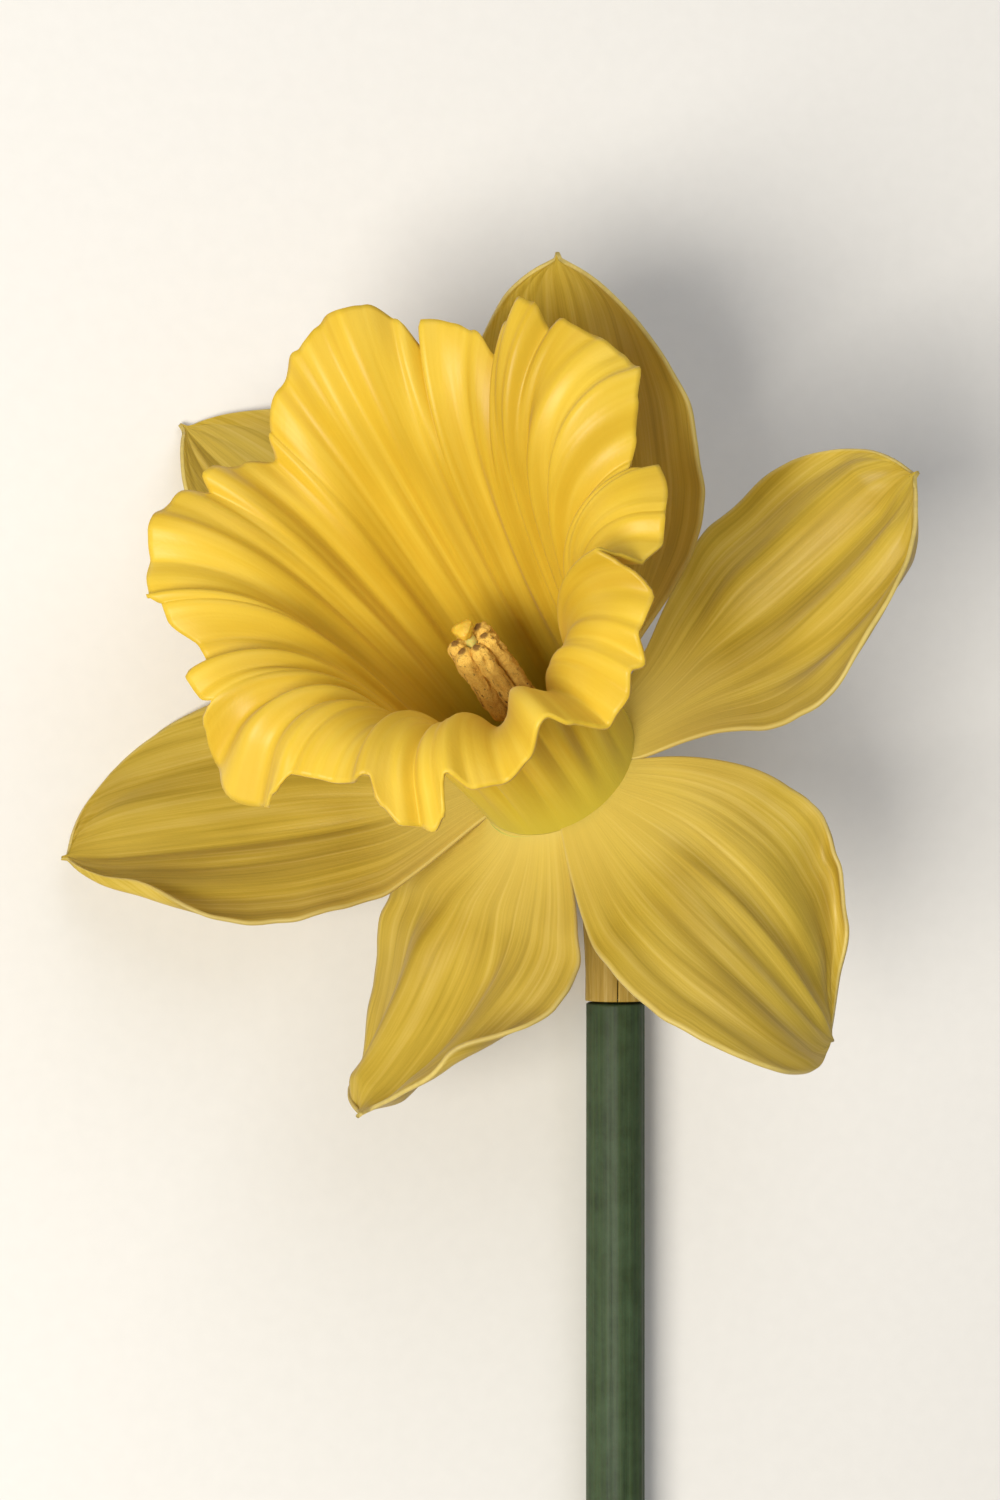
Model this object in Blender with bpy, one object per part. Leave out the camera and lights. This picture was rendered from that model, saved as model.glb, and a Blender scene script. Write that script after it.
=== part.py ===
"""Daffodil flower with its cut stem, lying on a surface.

The stem lies along -Y on the surface. The bloom is at its +Y end, leans on the tips of
two tepals and turns its trumpet up and to the left. All sizes are in millimetres here
and become metres when the meshes are made. +Z is up.
"""
from math import atan2, cos, pi, radians, sin

import bmesh
import bpy
from mathutils import Matrix, Vector

MM = 0.001
GAP = 0.35                # clear space between neighbouring pieces
PETAL_THICKNESS = 0.6     # blade of a tepal
CROWN_THICKNESS = 0.6     # wall of the trumpet

# Which way the bloom faces. Its axis runs from the ovary out through the trumpet.
HEADING = 136.4           # degrees from +X, seen from above
ELEVATION = 33.8          # degrees above the surface
SPIN = 1.3                # turn round its own axis, degrees

# The six tepals, counted round the axis. Every blade starts on a ring round the throat.
RING_RADIUS = 10.8
CLAW_HALF_WIDTH = 4.2     # of every blade where it leaves the ring
# name, place round the axis, sweep at base and tip (degrees towards the face of the
# bloom), sideways bend, length, half widths left and right, twist at base and tip,
# cupping (radians), widest place along the blade, bluntness of the tip
TEPALS = [
    ("outer_tepal_top", 68, 36, 65, 0, 49.5, 14.5, 19.5, -2, -2, 0.65, 0.51, 0.62),
    ("inner_tepal_upper_left", 131, 31, 45, 5, 49.5, 14.0, 16.0, 1, 22, 0.55, 0.49, 0.73),
    ("outer_tepal_left", 187, 9, 30, 4, 45.5, 16.0, 18.0, -13, 5, 0.50, 0.47, 0.70),
    ("inner_tepal_bottom", 239, -36, 13, -16, 35.5, 17.5, 17.5, -3, 42, 0.05, 0.43, 0.67),
    ("outer_tepal_lower_right", 312, -1, -77, -20, 37.0, 19.5, 16.5, 10, -66, 0.05, 0.54, 0.67),
    ("inner_tepal_right", 18, 6, 31, -3, 42.0, 13.5, 19.0, 0, 3, 0.42, 0.46, 0.65),
]
OUTER_WHORL_DROP = 1.8    # the outer three start this far behind the inner three

# The trumpet, or corona.
CROWN_BASE_RADIUS = 9.5
CROWN_BASE_ANGLE = 2.0    # lean of the wall away from the axis at the base, degrees
CROWN_WALL_ANGLE = 24.0   # and where the lip begins to turn
LIP_START = 0.55          # the lip is the rest of the wall's length
# The lobes of the lip, round the axis: angle of the notch before it, length of the wall
# at that notch, length of the wall at the middle of the lobe, and how far the lobe
# turns away from the axis there (90 is flat, more is rolled back)
LOBES = [
    (-9, 41.0, 45.0, 125),
    (11, 43.0, 46.0, 112),
    (23, 47.5, 53.0, 104),
    (46, 49.5, 52.5, 80),
    (61, 44.5, 49.5, 65),
    (81, 47.0, 53.5, 57),
    (134, 42.5, 47.5, 60),
    (151, 46.5, 52.0, 74),
    (190, 43.5, 46.5, 88),
    (206, 42.0, 49.0, 132),
    (240, 41.0, 43.5, 132),
    (262, 40.0, 41.5, 86),
    (288, 40.5, 41.5, 97),
    (314, 40.5, 42.0, 78),
    (331, 38.5, 41.0, 120),
]
PLEATS = 6                # broad folds running up the trumpet
PLEAT_DEPTH = 0.7
FRILL_DEPTH = 1.0         # waving of the lip, one wave to a lobe

# Behind the bloom: perianth tube, ovary and pedicel, and the stem with its spathe.
TUBE_TOP_RADIUS = 9.5
TUBE_FOOT_RADIUS = 3.0
TUBE_LENGTH = 14.0
TUBE_WALL = 0.8
OVARY_LENGTH = 8.0
OVARY_RADIUS = 3.2
PEDICEL_RADIUS = 1.7
STEM_RADIUS = 3.5
STEM_LENGTH = 105.0
STEM_END = Vector((15.3, -28.6, -21.5))   # centre of its upper end, from the bloom's base
SPATHE_LENGTH = 36.0
SPATHE_RADIUS = 3.5
SPATHE_THICKNESS = 0.5
SPATHE_SLIT_PLACE = 107.0  # the slit looks to the ovary, degrees round the stem
SPATHE_SLIT_BASE = 6.0     # half the slit's angle at the foot and at the tip
SPATHE_SLIT_TIP = 176.0

# Inside the trumpet: six stamens round the style.
STYLE_RADIUS = 0.55
STYLE_TOP = 24.2          # height over the bloom's base
STIGMA_RADIUS = 1.2
ANTHER_FOOT = 10.4
ANTHER_LENGTH = 10.8
ANTHER_RADIUS = 0.75
ANTHER_RING = 1.9         # distance of an anther's middle from the axis
FILAMENT_RADIUS = 0.4
FILAMENT_START = 5.4      # distance from the axis where it leaves the tube
STAMENS = 6


def turned_about(heading, elevation, spin):
    """The bloom's own axes as it lies: +Z runs out through the trumpet."""
    turn = Matrix.Rotation(radians(heading), 3, "Z")
    lean = Matrix.Rotation(radians(90.0 - elevation), 3, "Y")
    return turn @ lean @ turn.inverted() @ Matrix.Rotation(radians(spin), 3, "Z")


BLOOM = turned_about(HEADING, ELEVATION, SPIN)


def clear_scene():
    for obj in list(bpy.data.objects):
        bpy.data.objects.remove(obj, do_unlink=True)


def make_material(name, colour, roughness):
    material = bpy.data.materials.new(name)
    material.use_nodes = True
    shader = material.node_tree.nodes["Principled BSDF"]
    shader.inputs["Base Color"].default_value = (*colour, 1.0)
    shader.inputs["Roughness"].default_value = roughness
    shader.inputs["Metallic"].default_value = 0.0
    return material


def make_object(name, bm, material, parent, frame=None):
    """Close up a bmesh made in millimetres as a named piece, in metres."""
    if frame is not None:
        bmesh.ops.transform(bm, matrix=frame.to_4x4(), verts=bm.verts)
    bmesh.ops.scale(bm, vec=(MM, MM, MM), verts=bm.verts)
    mesh = bpy.data.meshes.new(name)
    bm.to_mesh(mesh)
    bm.free()
    mesh.shade_smooth()
    mesh.set_sharp_from_angle(angle=radians(50))
    mesh.materials.append(material)
    obj = bpy.data.objects.new(name, mesh)
    bpy.context.scene.collection.objects.link(obj)
    obj.parent = parent
    return obj


def give_thickness(obj, thickness):
    solidify = obj.modifiers.new("thickness", "SOLIDIFY")
    solidify.thickness = thickness * MM
    solidify.offset = 0.0


def blend(a, b, t):
    return a + (b - a) * t


# ---- tepals ----------------------------------------------------------------------
BLADE_ROWS = 22
BLADE_COLUMNS = 8
TIP_HALF_WIDTH = 0.3


def blade_half_width(s, greatest, widest, bluntness):
    """Half width at a share of the blade's length: it swells from the claw, then rounds in."""
    if s < widest:
        return blend(CLAW_HALF_WIDTH, greatest, sin(pi / 2 * s / widest) ** 1.3)
    x = (s - widest) / (1 - widest)
    return max(greatest * max(1 - x ** 2.3, 0.0) ** bluntness, TIP_HALF_WIDTH)


def blade_midrib(place, sweep_base, sweep_tip, bend, length, drop):
    """Points and directions down the middle of a blade, at equal steps of its length."""
    start = radians(place)
    point = Vector((RING_RADIUS * cos(start), RING_RADIUS * sin(start), -drop))
    rows = []
    step = length / BLADE_ROWS
    for row in range(BLADE_ROWS + 1):
        s = row / BLADE_ROWS
        sweep = radians(blend(sweep_base, sweep_tip, s))
        swing = radians(place + bend * s * s)
        along = Vector((cos(sweep) * cos(swing), cos(sweep) * sin(swing), sin(sweep)))
        across = Vector((-sin(swing), cos(swing), 0.0))
        rows.append((point.copy(), along, across))
        point += along * step
    return rows


def make_tepal(spec, material, parent):
    """One blade: a grid laid along a curved midrib, cupped across and given thickness."""
    (name, place, sweep_base, sweep_tip, bend, length, left, right,
     twist_base, twist_tip, cup, widest, bluntness) = spec
    drop = OUTER_WHORL_DROP if name.startswith("outer") else 0.0
    rows = blade_midrib(place, sweep_base, sweep_tip, bend, length, drop)
    bm = bmesh.new()
    bmesh.ops.create_grid(bm, x_segments=BLADE_COLUMNS, y_segments=BLADE_ROWS, size=1.0)
    for vert in bm.verts:
        side = vert.co.x
        row = round((vert.co.y + 1) / 2 * BLADE_ROWS)
        s = row / BLADE_ROWS
        point, along, across = rows[row]
        twist = radians(blend(twist_base, twist_tip, s))
        normal = along.cross(across)
        level = across * cos(twist) + normal * sin(twist)
        up = normal * cos(twist) - across * sin(twist)
        half = blade_half_width(s, right if side < 0 else left, widest, bluntness)
        arc = cup * side
        vert.co = point + level * half * sin(arc) / cup + up * half * (1 - cos(arc)) / cup
    obj = make_object(name, bm, material, parent, BLOOM)
    give_thickness(obj, PETAL_THICKNESS)
    return obj


# ---- trumpet ---------------------------------------------------------------------
CROWN_COLUMNS = 90
CROWN_ROWS = 12
PROFILE_STEPS = 24


def ease(x):
    return (1 - cos(pi * x)) / 2


def lip_at(angle):
    """Wall length and final turn of the lip at an angle in degrees, and place in lobe."""
    count = len(LOBES)
    for index in range(count):
        start, notch, middle, turn = LOBES[index]
        following = LOBES[(index + 1) % count]
        end = following[0] + (360 if index == count - 1 else 0)
        shifted = angle if angle >= LOBES[0][0] else angle + 360
        if start <= shifted < end:
            break
    across = (shifted - start) / (end - start)
    bulge = 1 - abs(2 * across - 1) ** 2.4
    shoulder = blend(notch, following[1], across)
    length = shoulder + (middle - (notch + following[1]) / 2) * bulge
    before = LOBES[index - 1][3]
    if across < 0.5:
        final_turn = blend((before + turn) / 2, turn, ease(across * 2))
    else:
        final_turn = blend(turn, (turn + following[3]) / 2, ease(across * 2 - 1))
    return length, final_turn, across


def crown_point(angle, u):
    """Point of the trumpet's wall at an angle and a share of the wall's length."""
    length, final_turn, across = lip_at(angle)
    radius = CROWN_BASE_RADIUS
    height = 0.0
    step = length * u / PROFILE_STEPS
    for index in range(PROFILE_STEPS):
        share = u * (index + 0.5) / PROFILE_STEPS
        lip = max(share - LIP_START, 0.0) / (1 - LIP_START)
        lean = blend(CROWN_BASE_ANGLE, CROWN_WALL_ANGLE, share)
        lean += (final_turn - CROWN_WALL_ANGLE) * lip * lip
        radius += sin(radians(lean)) * step
        height += cos(radians(lean)) * step
    theta = radians(angle)
    rib = PLEAT_DEPTH * sin(pi * min(u * 1.25, 1.0)) * cos(PLEATS * theta)
    lip = max(u - LIP_START, 0.0) / (1 - LIP_START)
    frill = -FRILL_DEPTH * lip * cos(2 * pi * across)
    facing = radians(lean)
    radius += rib + frill * cos(facing)
    height -= frill * sin(facing)
    return Vector((radius * cos(theta), radius * sin(theta), height))


def make_crown(material, parent):
    """The trumpet: one grid wrapped round the axis, its two ends sewn together."""
    bm = bmesh.new()
    bmesh.ops.create_grid(bm, x_segments=CROWN_COLUMNS, y_segments=CROWN_ROWS, size=1.0)
    for vert in bm.verts:
        column = round((vert.co.x + 1) / 2 * CROWN_COLUMNS) % CROWN_COLUMNS
        row = round((vert.co.y + 1) / 2 * CROWN_ROWS)
        angle = LOBES[0][0] + 360 * column / CROWN_COLUMNS
        vert.co = crown_point(angle, row / CROWN_ROWS)
    bmesh.ops.remove_doubles(bm, verts=bm.verts, dist=0.001)
    obj = make_object("corona", bm, material, parent, BLOOM)
    give_thickness(obj, CROWN_THICKNESS)
    return obj


# ---- turned and drawn pieces -------------------------------------------------------
def turned(profile, segments, closed=False):
    """Spin a profile of (radius, height) points round the axis."""
    bm = bmesh.new()
    verts = [bm.verts.new((radius, 0.0, height)) for radius, height in profile]
    edges = [bm.edges.new(pair) for pair in zip(verts, verts[1:])]
    if closed:
        edges.append(bm.edges.new((verts[-1], verts[0])))
    bmesh.ops.spin(bm, geom=verts + edges, cent=(0, 0, 0), axis=(0, 0, 1), angle=2 * pi,
                   steps=segments, use_merge=True)
    bmesh.ops.remove_doubles(bm, verts=bm.verts, dist=0.001)
    bmesh.ops.recalc_face_normals(bm, faces=bm.faces)
    return bm


def drawn_tube(points, radius, sides):
    """A round rod along smooth points, closed at both ends."""
    bm = bmesh.new()
    bmesh.ops.create_circle(bm, segments=sides, radius=radius, cap_ends=True)
    heading = (points[1] - points[0]).normalized()
    turn = Vector((0, 0, 1)).rotation_difference(heading).to_matrix().to_4x4()
    bmesh.ops.transform(bm, matrix=Matrix.Translation(points[0]) @ turn, verts=bm.verts)
    rim = bm.edges[:]
    for index in range(1, len(points)):
        grown = bmesh.ops.extrude_edge_only(bm, edges=rim)["geom"]
        ring = [item for item in grown if isinstance(item, bmesh.types.BMVert)]
        rim = [item for item in grown if isinstance(item, bmesh.types.BMEdge)]
        ahead = points[min(index + 1, len(points) - 1)] - points[index - 1]
        swing = heading.rotation_difference(ahead).to_matrix().to_4x4()
        heading = ahead.normalized()
        back = Matrix.Translation(-points[index - 1])
        bmesh.ops.transform(bm, matrix=Matrix.Translation(points[index]) @ swing @ back, verts=ring)
    bmesh.ops.holes_fill(bm, edges=rim, sides=sides)
    bmesh.ops.recalc_face_normals(bm, faces=bm.faces)
    return bm


def smooth_route(start, start_pull, end_pull, end, count):
    """Points of a cubic curve that leaves start and reaches end along the two pulls."""
    points = []
    for index in range(count + 1):
        t = index / count
        points.append(start * (1 - t) ** 3 + (start + start_pull) * 3 * t * (1 - t) ** 2
                      + (end - end_pull) * 3 * t * t * (1 - t) + end * t ** 3)
    return points


def tube_radius(height):
    """Outer radius of the perianth tube at a height below the bloom's base."""
    share = (height + TUBE_LENGTH) / TUBE_LENGTH
    return blend(TUBE_FOOT_RADIUS, TUBE_TOP_RADIUS, share ** 1.5)


def make_tube(material, parent):
    steps = 6
    heights = [-TUBE_LENGTH + (TUBE_LENGTH - GAP) * step / steps for step in range(steps + 1)]
    outside = [(tube_radius(height), height) for height in heights]
    inside = [(radius - TUBE_WALL, height) for radius, height in reversed(outside)]
    bm = turned(outside + inside, 32, closed=True)
    return make_object("perianth_tube", bm, material, parent, BLOOM)


def make_ovary(material, parent):
    """A blunt spindle with three slight ridges, one over each chamber."""
    top = -TUBE_LENGTH - GAP
    steps = 10
    profile = []
    for step in range(steps + 1):
        turn = pi * step / steps
        profile.append((OVARY_RADIUS * sin(turn) ** 0.7 if 0 < step < steps else 0.0,
                        top - OVARY_LENGTH * (1 - cos(turn)) / 2))
    bm = turned(profile, 24)
    for vert in bm.verts:
        ridge = 1 + 0.04 * cos(3 * atan2(vert.co.y, vert.co.x))
        vert.co.x *= ridge
        vert.co.y *= ridge
    return make_object("ovary", bm, material, parent, BLOOM)


def make_pedicel(material, parent):
    """The short stalk that turns the bloom from the stem's line to its own axis."""
    axis = BLOOM @ Vector((0, 0, 1))
    start = STEM_END + Vector((0, GAP, 0))
    end = axis * (-TUBE_LENGTH - OVARY_LENGTH - 2 * GAP)
    route = smooth_route(start, Vector((0, 14, 0)), axis * 4.5, end, 14)
    bm = drawn_tube(route, PEDICEL_RADIUS, 14)
    return make_object("pedicel", bm, material, parent)


def make_stem(material, parent):
    route = [STEM_END - Vector((0, STEM_LENGTH, 0)), STEM_END]
    bm = drawn_tube(route, STEM_RADIUS, 28)
    return make_object("stem", bm, material, parent)


def make_spathe(material, parent):
    """The papery sheath: a slit cone that wraps the pedicel and ends in a point."""
    columns = 20
    rows = 16
    bm = bmesh.new()
    bmesh.ops.create_grid(bm, x_segments=columns, y_segments=rows, size=1.0)
    for vert in bm.verts:
        along = (vert.co.y + 1) / 2
        opening = SPATHE_SLIT_BASE + (SPATHE_SLIT_TIP - SPATHE_SLIT_BASE) * ease(along) ** 0.8
        angle = radians(SPATHE_SLIT_PLACE + 180 + vert.co.x * (180 - opening))
        radius = SPATHE_RADIUS + 0.9 * sin(pi * along) ** 2
        floor_side = radius + SPATHE_THICKNESS / 2 - STEM_RADIUS
        vert.co = Vector((radius * cos(angle), GAP + SPATHE_LENGTH * along,
                          radius * sin(angle) + floor_side)) + STEM_END
    obj = make_object("spathe", bm, material, parent)
    give_thickness(obj, SPATHE_THICKNESS)
    return obj


# ---- stamens and pistil ------------------------------------------------------------
def make_style(material, parent):
    foot = -TUBE_LENGTH
    profile = [(0.0, foot), (STYLE_RADIUS, foot), (STYLE_RADIUS, STYLE_TOP), (0.0, STYLE_TOP)]
    return make_object("style", turned(profile, 10), material, parent, BLOOM)


def make_stigma(material, parent):
    """A small three-lobed knob on the style."""
    foot = STYLE_TOP + GAP
    profile = [(0.0, foot), (0.6, foot), (STIGMA_RADIUS, foot + 0.8),
               (STIGMA_RADIUS * 0.9, foot + 1.5), (0.0, foot + 1.8)]
    bm = turned(profile, 18)
    for vert in bm.verts:
        lobe = 1 + 0.2 * cos(3 * atan2(vert.co.y, vert.co.x))
        vert.co.x *= lobe
        vert.co.y *= lobe
    return make_object("stigma", bm, material, parent, BLOOM)


def make_anther(index, material, parent):
    steps = 8
    profile = []
    for step in range(steps + 1):
        turn = pi * step / steps
        radius = ANTHER_RADIUS * sin(turn) ** 0.4 if 0 < step < steps else 0.0
        profile.append((radius, ANTHER_FOOT + ANTHER_LENGTH * (1 - cos(turn)) / 2))
    bm = turned(profile, 8)
    place = Matrix.Rotation(2 * pi * index / STAMENS, 4, "Z")
    bmesh.ops.translate(bm, vec=(ANTHER_RING, 0, 0), verts=bm.verts)
    bmesh.ops.transform(bm, matrix=place, verts=bm.verts)
    return make_object(f"anther_{index + 1}", bm, material, parent, BLOOM)


def make_filament(index, material, parent):
    """A thread from the wall of the tube up to the foot of its anther."""
    start = Vector((FILAMENT_START, 0, -3.0))
    end = Vector((ANTHER_RING, 0, ANTHER_FOOT - GAP))
    route = smooth_route(start, Vector((-1.5, 0, 4.0)), Vector((0, 0, 4.0)), end, 8)
    bm = drawn_tube(route, FILAMENT_RADIUS, 8)
    place = Matrix.Rotation(2 * pi * index / STAMENS, 4, "Z")
    bmesh.ops.transform(bm, matrix=place, verts=bm.verts)
    return make_object(f"filament_{index + 1}", bm, material, parent, BLOOM)


# ---- whole flower ------------------------------------------------------------------
def stand_on_origin(parent, pieces):
    """Move the whole flower so that the middle of its box's underside is the origin."""
    bpy.context.view_layer.update()
    graph = bpy.context.evaluated_depsgraph_get()
    corners = []
    for piece in pieces:
        shape = piece.evaluated_get(graph)
        corners += [vert.co.copy() for vert in shape.data.vertices]
    low = [min(corner[axis] for corner in corners) for axis in range(3)]
    high = [max(corner[axis] for corner in corners) for axis in range(3)]
    parent.location = (-(low[0] + high[0]) / 2, -(low[1] + high[1]) / 2, -low[2])


def main():
    clear_scene()
    whole = bpy.data.objects.new("flower", None)
    bpy.context.scene.collection.objects.link(whole)
    petal = make_material("tepal_tissue", (0.62, 0.42, 0.06), 0.55)
    crown = make_material("corona_tissue", (0.75, 0.45, 0.03), 0.5)
    green = make_material("green_stem", (0.10, 0.15, 0.04), 0.5)
    ovary = make_material("ovary_skin", (0.16, 0.22, 0.05), 0.5)
    paper = make_material("papery_sheath", (0.45, 0.30, 0.12), 0.8)
    pollen = make_material("pollen", (0.50, 0.22, 0.04), 0.9)
    thread = make_material("filament_tissue", (0.70, 0.60, 0.15), 0.5)
    pieces = [make_stem(green, whole), make_pedicel(green, whole), make_spathe(paper, whole),
              make_ovary(ovary, whole), make_tube(petal, whole), make_crown(crown, whole),
              make_style(thread, whole), make_stigma(thread, whole)]
    for spec in TEPALS:
        pieces.append(make_tepal(spec, petal, whole))
    for index in range(STAMENS):
        pieces.append(make_filament(index, thread, whole))
        pieces.append(make_anther(index, pollen, whole))
    stand_on_origin(whole, pieces)


main()
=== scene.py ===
# %% [markdown]
# # A daffodil, picked and laid down
# This notebook gives a daffodil flower its fine surfaces: six veined tepals, a frilled
# trumpet, dusty anthers, a papery spathe and a waxy stem. The plain solids are loaded
# first, and every fine piece then takes the place of one plain solid, a few millimetres
# away from its surface at the most.

# %% Load the plain flower
from math import asin, atan2, cos, exp, pi, radians, sin, sqrt

import bmesh
import bpy
from mathutils import Matrix, Vector, noise


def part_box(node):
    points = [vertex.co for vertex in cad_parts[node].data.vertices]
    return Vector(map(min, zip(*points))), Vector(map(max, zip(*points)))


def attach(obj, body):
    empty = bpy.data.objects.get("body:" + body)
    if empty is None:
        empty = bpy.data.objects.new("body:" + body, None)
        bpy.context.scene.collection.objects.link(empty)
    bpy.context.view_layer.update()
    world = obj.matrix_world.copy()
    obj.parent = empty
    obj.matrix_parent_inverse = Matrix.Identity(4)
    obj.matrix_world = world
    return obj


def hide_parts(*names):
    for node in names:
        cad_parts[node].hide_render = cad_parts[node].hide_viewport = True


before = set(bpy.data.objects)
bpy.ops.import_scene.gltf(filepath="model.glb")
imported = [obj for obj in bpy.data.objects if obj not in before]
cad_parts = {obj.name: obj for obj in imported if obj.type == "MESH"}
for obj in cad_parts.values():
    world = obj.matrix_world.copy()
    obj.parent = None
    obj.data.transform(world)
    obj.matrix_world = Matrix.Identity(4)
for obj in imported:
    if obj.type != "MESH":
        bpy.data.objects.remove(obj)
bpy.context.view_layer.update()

MM = 0.001

# %% [markdown]
# ## The bloom's own axes
# A flower is easiest to model round its own axis, with the trumpet pointing straight up.
# The ovary and the stigma both sit on that axis, so their two boxes give its direction,
# and everything made in the upright bloom is then turned over into the lying one.

# %% Find the axis and the heart of the bloom
OVARY_TO_HEART = 18.35    # mm from the middle of the ovary to the ring of the tepals
SPIN = 1.3                # degrees the bloom is turned round its own axis


def middle(node):
    low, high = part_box(node)
    return (Vector(low) + Vector(high)) / 2


AXIS = (middle("stigma") - middle("ovary")).normalized()
HEART = middle("ovary") + AXIS * OVARY_TO_HEART * MM


def bloom_turn(axis):
    heading = atan2(axis.y, axis.x)
    turn = Matrix.Rotation(heading, 3, "Z")
    lean = Matrix.Rotation(pi / 2 - asin(axis.z), 3, "Y")
    return turn @ lean @ turn.inverted() @ Matrix.Rotation(radians(SPIN), 3, "Z")


BLOOM = Matrix.Translation(HEART) @ bloom_turn(AXIS).to_4x4() @ Matrix.Scale(MM, 4)
print("axis", [round(value, 3) for value in AXIS], "heart, mm", [round(v / MM, 1) for v in HEART])

# %% [markdown]
# ## Small helpers
# Every piece is made in millimetres with a bmesh and given a place by one matrix. It
# rides on the one body and replaces its plain solid. `ease` is a soft step between 0 and 1,
# and `blend` mixes two values.

# %% Helpers for numbers
def blend(a, b, t):
    return a + (b - a) * t


def ease(x):
    x = min(max(x, 0.0), 1.0)
    return x * x * (3 - 2 * x)


def ripple(x, y, seed, scale=1.0):
    """Smooth noise between about -1 and 1."""
    return noise.noise(Vector((x * scale, y * scale, seed * 7.3)))


# %% Helpers for pieces
def keep_above_floor(bm):
    """Tissue that would dip under the surface lies flat on it instead."""
    for vert in bm.verts:
        vert.co.z = max(vert.co.z, 0.0002)


def finish_piece(name, bm, place, material, nodes, thickness=0.0):
    bmesh.ops.transform(bm, matrix=place, verts=bm.verts)
    if thickness:
        keep_above_floor(bm)
    mesh = bpy.data.meshes.new(name)
    bm.to_mesh(mesh)
    bm.free()
    mesh.shade_smooth()
    mesh.materials.append(material)
    piece = bpy.data.objects.new(name, mesh)
    bpy.context.scene.collection.objects.link(piece)
    if thickness:
        wall = piece.modifiers.new("tissue", "SOLIDIFY")
        wall.thickness = thickness * MM
        wall.offset = 0.0
    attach(piece, "root")
    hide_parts(*nodes)
    print(name, len(mesh.polygons), "faces")
    return piece


def laid_grid(columns, rows, place_point, wrapped=False, map_point=None):
    """A grid whose points are put by place_point(x, y), x and y from 0 to 1, with a UV map.

    A wrapped grid is sewn into a sleeve along its two long sides. The UV map is x and y,
    or what map_point makes of them, and the attribute "margin" is 1 along the long sides."""
    bm = bmesh.new()
    bmesh.ops.create_grid(bm, x_segments=columns, y_segments=rows, size=0.5, calc_uvs=True)
    uv = bm.loops.layers.uv.verify()
    margin = bm.verts.layers.float.new("margin")
    spots = {}
    for vert in bm.verts:
        x = round((vert.co.x + 0.5) * columns) / columns
        y = round((vert.co.y + 0.5) * rows) / rows
        spots[vert] = (x, y)
    for face in bm.faces:
        for loop in face.loops:
            spot = spots[loop.vert]
            loop[uv].uv = map_point(*spot) if map_point else spot
    for vert, (x, y) in spots.items():
        vert[margin] = abs(2 * x - 1)
        vert.co = place_point(0.0 if wrapped and x == 1.0 else x, y)
    if wrapped:
        bmesh.ops.remove_doubles(bm, verts=bm.verts, dist=0.0001)
    return bm


# %% [markdown]
# ## Helpers for materials
# Plant tissue is a shader with a little light passing through it. One helper adds a node
# with its settings and its links, and one turns a printed colour into the linear light
# that the shader works in.

# %% Node and colour helpers
def linear(code):
    """An sRGB hex colour as linear light."""
    channels = [int(code[i:i + 2], 16) / 255 for i in (1, 3, 5)]
    light = [c / 12.92 if c <= 0.04045 else ((c + 0.055) / 1.055) ** 2.4 for c in channels]
    return (*light, 1.0)


def add_node(material, kind, settings=None, **inputs):
    """Add a node. A setting is an attribute; an input is a value or another node's socket."""
    tree = material.node_tree
    node = tree.nodes.new(kind)
    for key, value in (settings or {}).items():
        setattr(node, key, value)
    for key, value in inputs.items():
        socket = node.inputs[int(key[1:])] if key[1:].isdigit() else node.inputs[key.replace("_", " ")]
        if isinstance(value, bpy.types.NodeSocket):
            tree.links.new(value, socket)
        else:
            socket.default_value = value
    return node


def new_material(name):
    material = bpy.data.materials.new(name)
    material.use_nodes = True
    material.node_tree.nodes.clear()
    return material


def set_ramp(node, stops):
    """Give a colour ramp its stops: (place, hex colour)."""
    ramp = node.color_ramp
    while len(ramp.elements) > 1:
        ramp.elements.remove(ramp.elements[-1])
    ramp.elements[0].position = stops[0][0]
    ramp.elements[0].color = linear(stops[0][1])
    for place, code in stops[1:]:
        ramp.elements.new(place).color = linear(code)
    return node.outputs["Color"]


# %% [markdown]
# ## Petal tissue
# A daffodil's petals are a few cells thick. Their skin is satin, with faint long veins a
# millimetre or two apart, finer ones between them, and rows of cells drawn here at a
# fifth of a millimetre. The veins follow the UV map from foot to tip, so they gather where
# the blade narrows. Light from behind glows through the tissue, so the shader mixes a
# satin surface with a translucent one, and the margin, where the tissue is thinnest, is
# pale. The trumpet is the same tissue, a deeper yellow and smoother, greenish at its foot.
# The tepals' paler foot is painted light: it brightens the foot where the trumpet shades it.

# %% One recipe for every petal tissue
VEIN_SPACING = 1.6        # mm between long veins at the widest place
FINE_SPACING = 0.45       # mm between the finer ones
CELL_SIZE = 0.2           # mm, drawn coarser than life


def petal_space(material, across, along, wrapped):
    """Coordinates in mm on the tissue. A sleeve's run round a circle, so no seam shows."""
    spot = add_node(material, "ShaderNodeTexCoord").outputs["UV"]
    parts = add_node(material, "ShaderNodeSeparateXYZ", Vector=spot)
    if not wrapped:
        space = add_node(material, "ShaderNodeMapping", _0=spot, Scale=(across, along, 1.0))
        return space.outputs[0], parts
    angle = add_node(material, "ShaderNodeMath", {"operation": "MULTIPLY"}, _0=parts.outputs["X"],
                     _1=2 * pi).outputs[0]
    ring = across / (2 * pi)
    turned = [add_node(material, "ShaderNodeMath", {"operation": kind}, _0=angle).outputs[0]
              for kind in ("COSINE", "SINE")]
    joined = add_node(material, "ShaderNodeCombineXYZ", X=turned[0], Y=parts.outputs["Y"],
                      Z=turned[1]).outputs[0]
    space = add_node(material, "ShaderNodeMapping", _0=joined, Scale=(ring, along, ring))
    return space.outputs[0], parts


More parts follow.
